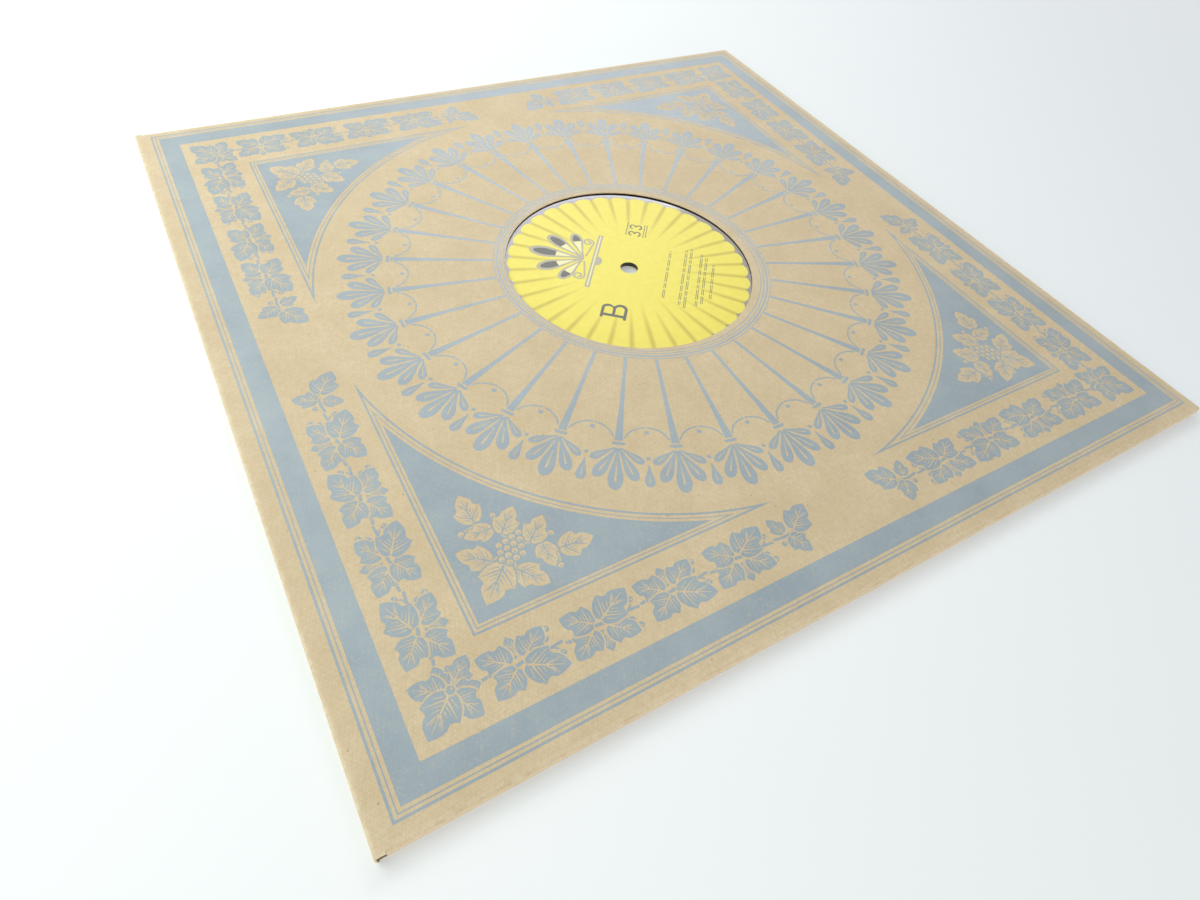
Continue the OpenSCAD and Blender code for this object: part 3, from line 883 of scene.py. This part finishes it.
# The back carries the same outer frame, which is a guess
back = film_mesh("back_border_print", border, -FILM, FILM_ROOT, PRINT_INK)
new_piece("back_border_print", back, "jacket")


# The labels' print

def letter_b():
    """A slab B, 1 high, from its lower left corner."""
    outer = [(0.0, 0.0), (0.60, 0.0)] + arc(0.27, -72, 54, 7, (0.60, 0.27))
    outer += [(0.74, 0.52)] + arc(0.24, -54, 90, 8, (0.56, 0.76))
    outer += [(0.0, 1.0), (0.0, 0.89), (0.11, 0.89), (0.11, 0.11), (0.0, 0.11)]
    lower = [(0.25, 0.12), (0.58, 0.12)] + arc(0.15, -67.5, 67.5, 6, (0.58, 0.285), 0.165)
    upper = [(0.25, 0.56), (0.55, 0.56)] + arc(0.13, -67.5, 67.5, 6, (0.55, 0.725), 0.165)
    return [outer, lower + [(0.58, 0.45), (0.25, 0.45)], upper + [(0.55, 0.89), (0.25, 0.89)]]


def letter_a():
    """A slab A, 1 high, from its lower left corner."""
    outer = [(0.0, 0.0), (0.30, 0.0), (0.30, 0.10), (0.23, 0.10), (0.29, 0.28), (0.61, 0.28),
             (0.67, 0.10), (0.60, 0.10), (0.60, 0.0), (0.92, 0.0), (0.92, 0.10), (0.83, 0.10),
             (0.53, 1.0), (0.38, 1.0), (0.09, 0.10), (0.0, 0.10)]
    return [outer, [(0.33, 0.40), (0.57, 0.40), (0.45, 0.78)]]


def figure_three():
    """A figure 3, 1 high, from its lower left corner."""
    top = arc(0.26, 189, 9, 10, (0.30, 0.74), 0.21)
    low = arc(0.28, 75.6, -171.9, 11, (0.30, 0.26), 0.22)
    return stroke(top + [(0.50, 0.62), (0.36, 0.53), (0.30, 0.52)] + low, 0.12)


def volute(side, at, radius, width):
    """A small scroll that curls in from the side of the palmette's foot."""
    line = [(side * 1.6, at[1] - 0.6)]
    for i in range(22):
        a, r = math.radians(-110 + i * 24), radius * (1 - i / 28)
        line.append((side * (at[0] + r * math.cos(a)), at[1] + r * math.sin(a)))
    return stroke(line, width, 1.3 * width)


PALMETTE_FOOT = 18.9      # from the label's middle to where its petals meet
PALMETTE = ((0, 22.8), (33, 20.4), (-33, 20.4), (66, 17.0), (-66, 17.0))    # turns and lengths
CORE_SPLIT = 11.5         # from that foot to where a petal's core turns from cream to black
PETAL_RIM = curved([(0.015, 0.0), (0.055, 0.28), (0.15, 0.68), (0.105, 0.92), (0.0, 1.0)], 4)
PETAL_CORE = curved([(0.0, 0.20), (0.03, 0.34), (0.092, 0.69), (0.055, 0.87), (0.0, 0.92)], 4)
BAR = oblong(-17.4, 13.6, 17.4, 15.6)       # the bar under the palmette
BAR_MIDDLE = oblong(-16.6, 14.3, 16.6, 14.9)
BAR_BUMP = arc(2.9, 180, 360, 12, (0.0, 13.6), 2.2)    # the round bump under the bar
LETTER_AT, LETTER_HIGH = (-33.0, -3.0), 10.0           # lower left corner and height of the letter
THREES_AT, THREE_HIGH = ((21.5, -1.4), (26.3, -1.4)), 5.2
RULES = (-3.7, -2.7, 4.6)             # lower edges of the rules over and under the figures
RULE_ENDS, RULE_WIDE = (21.4, 30.6), 0.3
# Double rules broken into dashes: how far each lies below the middle, and its length
BROKEN_RULES = ((15.2, 31), (21.8, 36), (23.9, 39), (28.3, 34), (30.4, 30), (33.6, 22))
DASHES = (5.2, 3.1, 6.4, 2.2, 4.6, 3.6, 7.0, 2.8)      # lengths of the dashes, in turn
DASH_WIDE, DASH_GAP = 0.24, 0.9


def palmette(half):
    """The label's five petals, or their cores."""
    drawing = []
    for turn, length in PALMETTE:
        drawing += inked(placed(mirrored(half), (0.0, PALMETTE_FOOT), turn, length))
    return drawing


def half_ring(inner, outer):
    """The area between two distances from the palmette's foot, over all its petals."""
    foot = (0.0, PALMETTE_FOOT)
    return arc(inner, -25, 205, 30, foot) + arc(outer, 205, -25, 30, foot)


def grey_print():
    """What is grey on a label, with its top at +Y: the palmette's outlines, two scrolls, a bar."""
    drawing = palmette(PETAL_RIM) + [(loop, False) for loop, _ in palmette(PETAL_CORE)]
    drawing += inked(*[volute(side, (11.2, 19.0), 2.4, 0.7) for side in (1, -1)])
    return drawing + inked(BAR[:1] + BAR_BUMP + BAR[1:]) + bared(BAR_MIDDLE)


def cream_print():
    """What is cream on a label: the inner halves of the petals' cores and the bar's middle."""
    return palmette(PETAL_CORE) + bared(half_ring(CORE_SPLIT, 30.0)) + inked(BAR_MIDDLE)


def black_print(letter):
    """What is black on a label: the petals' outer halves, the side letter, 33 and broken rules."""
    drawing = palmette(PETAL_CORE) + bared(half_ring(0.0, CORE_SPLIT))
    drawing += [(placed(loop, LETTER_AT, 0, LETTER_HIGH), not i) for i, loop in enumerate(letter)]
    drawing += inked(*[placed(figure_three(), at, 0, THREE_HIGH) for at in THREES_AT])
    left, right = RULE_ENDS
    drawing += inked(*[oblong(left, low, right, low + RULE_WIDE) for low in RULES])
    for number, (down, length) in enumerate(BROKEN_RULES):
        x, i = -length / 2, number * 3
        while x < length / 2:
            end = min(x + DASHES[i % len(DASHES)], length / 2)
            drawing += inked(*[oblong(x, low, end, low + DASH_WIDE)
                               for low in (-down - 0.5, -down + 0.14)])
            x, i = end + DASH_GAP, i + 1
    return drawing


for side, letter, centre_turn, flip, low, high in (
        ("b", letter_b(), LABEL_UP_B - 90, 1, LABEL_TOP_B - FILM_ROOT, LABEL_TOP_B + FILM),
        ("a", letter_a(), LABEL_UP_A - 90, -1, LABEL_TOP_A - FILM, LABEL_TOP_A + FILM_ROOT)):
    for colour, drawing, ink in (
            ("black", black_print(letter), LABEL_BLACK), ("grey", grey_print(), LABEL_GREY),
            ("cream", cream_print(), LABEL_CREAM)):
        name = f"side_{side}_{colour}_print"
        turned = [([(flip * x, y) for x, y in loop], layer) for loop, layer in drawing]
        film = film_mesh(name, moved(turned, LABEL_PRINT_AT, centre_turn), low, high, ink)
        new_piece(name, film, "record")


# The pressed disc

RIM_R, SPINDLE_R, SEAT_R = 150.8, 3.62, 50.05      # rim, spindle hole and label's seat
SEAT, BAND = 0.12, 0.2                    # depths of the seat and of the grooved band
BAND_START, BAND_END = (51.65, 52.65), (146.4, 147.4)    # where a face slopes to it and back
RIM_ROUND = 0.6                           # the rim's rounding
GROOVE_STEP, GROOVE_DEPTH = 0.66, 0.05    # several times coarser than a real groove's 0.1 mm
TRACK_ENDS = (146.4, 128.2, 109.6, 92.1, 77.4, 60.8)    # where tracks start, and the last ends
GAP = 1.3                                 # bare band between tracks
LEAD_OUT, LOCKED = 58.8, 54.8             # the two single grooves in the runout


def face_profile():
    """Radius and depth under the face along the disc's upper side, from the spindle hole out."""
    line = [(SPINDLE_R, SEAT), (SEAT_R, SEAT), (SEAT_R, 0.0), (BAND_START[0], 0.0),
            (BAND_START[1], BAND)]
    for radius in (LOCKED, LEAD_OUT):
        line += [(radius - 0.2, BAND), (radius, BAND + GROOVE_DEPTH), (radius + 0.2, BAND)]
    for outer, inner in reversed(list(zip(TRACK_ENDS, TRACK_ENDS[1:]))):
        count = int((outer - GAP - inner) / GROOVE_STEP)
        for i in range(count):
            line += [(inner + i * GROOVE_STEP, BAND),
                     (inner + (i + 0.5) * GROOVE_STEP, BAND + GROOVE_DEPTH)]
        line.append((inner + count * GROOVE_STEP, BAND))
    return line + [(BAND_END[0], BAND), (BAND_END[1], 0.0), (RIM_R - RIM_ROUND, 0.0),
                   (RIM_R - 0.3 * RIM_ROUND, 0.3 * RIM_ROUND), (RIM_R, RIM_ROUND)]


SWEEP_R = 100    # radius of the circle that the profile is swept along, which it is drawn about


def disc_tree():
    """A profile of radius and height, turned about the record's axis."""
    tree, given = new_tree("pressed_disc", [
        ("Profile", "Object"), ("Sides", "Int"), ("Axis", "Vector"), ("Vinyl", "Material")])
    profile = add(tree, "GeometryNodeObjectInfo", {"Object": given["Profile"]}, out=4)
    section = add(tree, "GeometryNodeMeshToCurve", (profile,))
    path = add(tree, "GeometryNodeCurvePrimitiveCircle", {
        "Resolution": given["Sides"], "Radius": SWEEP_R * MM})
    swept = add(tree, "GeometryNodeCurveToMesh", {"Curve": path, "Profile Curve": section})
    whole = add(tree, "GeometryNodeTransform", {"Geometry": swept, "Translation": given["Axis"]})
    close_tree(tree, whole, given["Vinyl"])
    return tree


# The disc's raised faces are level with the labels' printed ones
section = [(r, LABEL_TOP_B - d) for r, d in face_profile()]
section += [(r, LABEL_TOP_A + d) for r, d in reversed(face_profile())]
section_mesh = bpy.data.meshes.new("disc_section")
section_mesh.from_pydata([((r - SWEEP_R) * MM, -z * MM, 0) for r, z in section],
                         [(i, (i + 1) % len(section)) for i in range(len(section))], [])
disc = grown("grooved_disc", disc_tree(), {
    "Profile": bpy.data.objects.new("disc_section", section_mesh), "Sides": 160,
    "Axis": (DISC_AT[0] * MM, DISC_AT[1] * MM, 0.0), "Vinyl": VINYL})
solid = bmesh.new()
solid.from_mesh(disc)
bmesh.ops.recalc_face_normals(solid, faces=solid.faces)
for edge in solid.edges:    # sharp at the edges of the grooves and steps, smooth round the axis
    edge.smooth = edge.calc_face_angle(0) < math.radians(4)
solid.to_mesh(disc)
solid.free()
grooved_disc = new_piece("grooved_disc", disc, "record")
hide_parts("vinyl_disc")


# Table, light and camera

# The table top lies just clear of the ink on the jacket's back
bpy.ops.mesh.primitive_plane_add(size=6, location=(0, 0, -0.06 * MM))
table_top = bpy.context.object
table_top.name = "table_top"
paint(table_top, table_material())

world = bpy.data.worlds.new("soft_room")
bpy.context.scene.world = world
world.use_nodes = True
sky = world.node_tree
sky.nodes.clear()
room = add(sky, "ShaderNodeBackground", (linear("#f4f3f7"), 0.44))
backdrop = add(sky, "ShaderNodeBackground", (linear(BACKDROP), 1.0))
seen = add(sky, "ShaderNodeMixShader", (seen_directly(sky), room, backdrop))
add(sky, "ShaderNodeOutputWorld", (seen,), out=None)


def window_light(name, azimuth, elevation, distance, width, height, energy, colour):
    """A soft rectangular light aimed at the jacket's middle. Directions in degrees, from +X."""
    light = bpy.data.lights.new(name, "AREA")
    light.shape = "RECTANGLE"
    light.size, light.size_y = width, height
    light.energy = energy
    light.color = linear(colour)[:3]
    lamp = in_scene(name, light)
    a, e = math.radians(azimuth), math.radians(elevation)
    lamp.location = distance * Vector((
        math.cos(a) * math.cos(e), math.sin(a) * math.cos(e), math.sin(e)))
    lamp.rotation_euler = lamp.location.to_track_quat("Z", "Y").to_euler()


window_light("tall_window", 146, 40, 0.8, 1.0, 0.7, 6.7, "#f8fffa")
window_light("far_window", 64, 36, 1.3, 0.55, 0.36, 4.0, "#f6f4ff")
window_light("window_reveal", 44, 36, 1.3, 0.3, 0.36, 1.0, "#fdf6ee")
window_light("low_fill", -102, 5, 2.0, 1.6, 0.28, 19.0, "#fdf6f4")

# Fitted to the photo: the eye's place in mm, and which ways are right and back from it
EYE_AT = (-145.88, -199.71, 184.93)
EYE_RIGHT, EYE_BACK = (0.86481, -0.49108, 0.1046), (-0.38206, -0.50846, 0.77169)
camera = bpy.data.cameras.new("photo_view")
camera.sensor_width = 36
camera.lens = 22.021
camera.shift_x, camera.shift_y = -0.00783, -0.0008
camera.clip_start = 0.01
viewer = in_scene("photo_view", camera)
back_axis = Vector(EYE_BACK).normalized()
up = back_axis.cross(Vector(EYE_RIGHT)).normalized()
axes = Matrix((up.cross(back_axis), up, back_axis)).transposed()
viewer.matrix_world = Matrix.Translation(MM * Vector(EYE_AT)) @ axes.to_4x4()
bpy.context.scene.camera = viewer
bpy.context.scene.view_settings.view_transform = "Standard"
